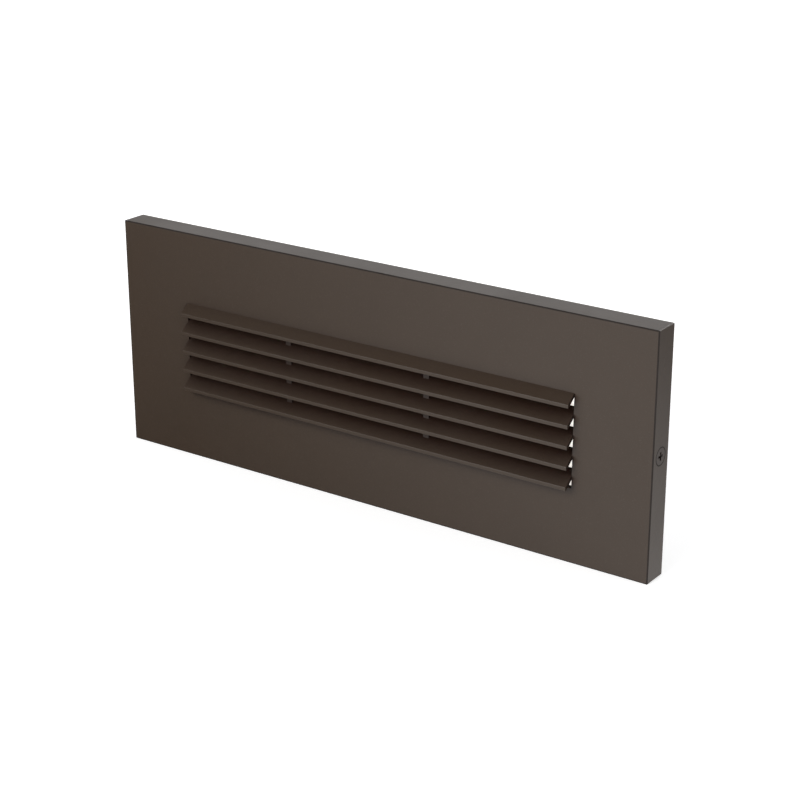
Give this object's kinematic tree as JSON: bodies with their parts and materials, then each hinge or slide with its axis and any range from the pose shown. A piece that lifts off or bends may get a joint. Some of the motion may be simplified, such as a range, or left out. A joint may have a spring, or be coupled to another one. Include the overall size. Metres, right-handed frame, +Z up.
{
  "type": "step light",
  "caption": "Recessed wall step light with a horizontal louvre faceplate, opal lens, LED tray and driver in a back box with conduit entries.",
  "frame": {"origin": "middle of the wall face that the faceplate's rear rim rests on, which is the centre of the back box's four fixing holes", "axes": "+X to the right along the plate as seen from the front, +Y into the wall, +Z up"},
  "size_m": [0.254, 0.0765, 0.099],
  "materials": {
    "bronze_casting": "dark bronze powder coat, satin",
    "bronze_screw": "bronze-painted stainless steel",
    "plated_steel": "zinc plate",
    "opal_glass": "opal, diffusing",
    "silicone": "translucent silicone rubber",
    "spring_steel": "plain spring steel",
    "galvanised_sheet": "galvanised sheet",
    "foam_rubber": "closed-cell foam",
    "box_casting": "plain die casting",
    "plug_casting": "plain die casting",
    "white_sheet": "white reflector paint",
    "thermal_silicone": "soft silicone sheet",
    "board_aluminium": "white solder mask on aluminium",
    "led_phosphor": "phosphor filled dish",
    "black_rubber": "moulded rubber",
    "driver_case": "moulded plastic",
    "terminal_plastic": "moulded nylon",
    "terminal_brass": "plain brass",
    "tinned_copper": "tin plate on copper",
    "green_screw": "green dyed zinc plate",
    "red_insulation": "silicone insulation",
    "black_insulation": "silicone insulation",
    "white_insulation": "silicone insulation",
    "green_insulation": "silicone insulation"
  },
  "bodies": {
    "housing": {"mounting_frame": "galvanised_sheet", "frame_screws": "plated_steel", "box_gasket": "foam_rubber", "wall_gasket": "foam_rubber", "back_box": "box_casting", "conduit_plugs": "plug_casting", "reflector_tray": "white_sheet", "tray_screws": "plated_steel", "thermal_pad": "thermal_silicone", "led_board": "board_aluminium", "led_packages": "led_phosphor", "board_screws": "plated_steel", "lead_grommet": "black_rubber", "driver": "driver_case", "driver_screws": "plated_steel", "terminal_block": "terminal_plastic", "terminal_clamp_screws": "terminal_brass", "terminal_screws": "plated_steel", "ground_lug": "tinned_copper", "ground_screw": "green_screw", "led_lead_plus": "red_insulation", "led_lead_minus": "black_insulation", "supply_lead_line": "black_insulation", "supply_lead_neutral": "white_insulation", "ground_lead": "green_insulation"},
    "faceplate": {"faceplate": "bronze_casting", "lens": "opal_glass", "lens_gasket": "silicone", "lens_clips": "spring_steel", "clip_screws": "plated_steel"},
    "left_screw": {"left_end_screw": "bronze_screw"},
    "right_screw": {"right_end_screw": "bronze_screw"},
    "left_nut": {"left_clamp_nut": "plated_steel"},
    "right_nut": {"right_clamp_nut": "plated_steel"}
  },
  "joints": [
    {"name": "faceplate_pull", "type": "slide", "parent": "housing", "child": "faceplate", "axis": [0, -1, 0], "range_m": [0, 0.03]},
    {"name": "left_screw_turn", "type": "hinge", "parent": "faceplate", "child": "left_screw", "pos_m": [-0.127, -0.0056, 0], "axis": [-1, 0, 0], "range_deg": [0, 720]},
    {"name": "right_screw_turn", "type": "hinge", "parent": "faceplate", "child": "right_screw", "pos_m": [0.127, -0.0056, 0], "axis": [1, 0, 0], "range_deg": [0, 720]},
    {"name": "left_nut_travel", "type": "slide", "parent": "faceplate", "child": "left_nut", "axis": [1, 0, 0], "range_m": [0, 0.00159]},
    {"name": "right_nut_travel", "type": "slide", "parent": "faceplate", "child": "right_nut", "axis": [-1, 0, 0], "range_m": [0, 0.00159]}
  ],
  "couplings": [
    {"joint": "left_screw_turn", "follows": "left_nut_travel", "rad_per_m": 7915.8},
    {"joint": "right_screw_turn", "follows": "right_nut_travel", "rad_per_m": 7915.8}
  ]
}
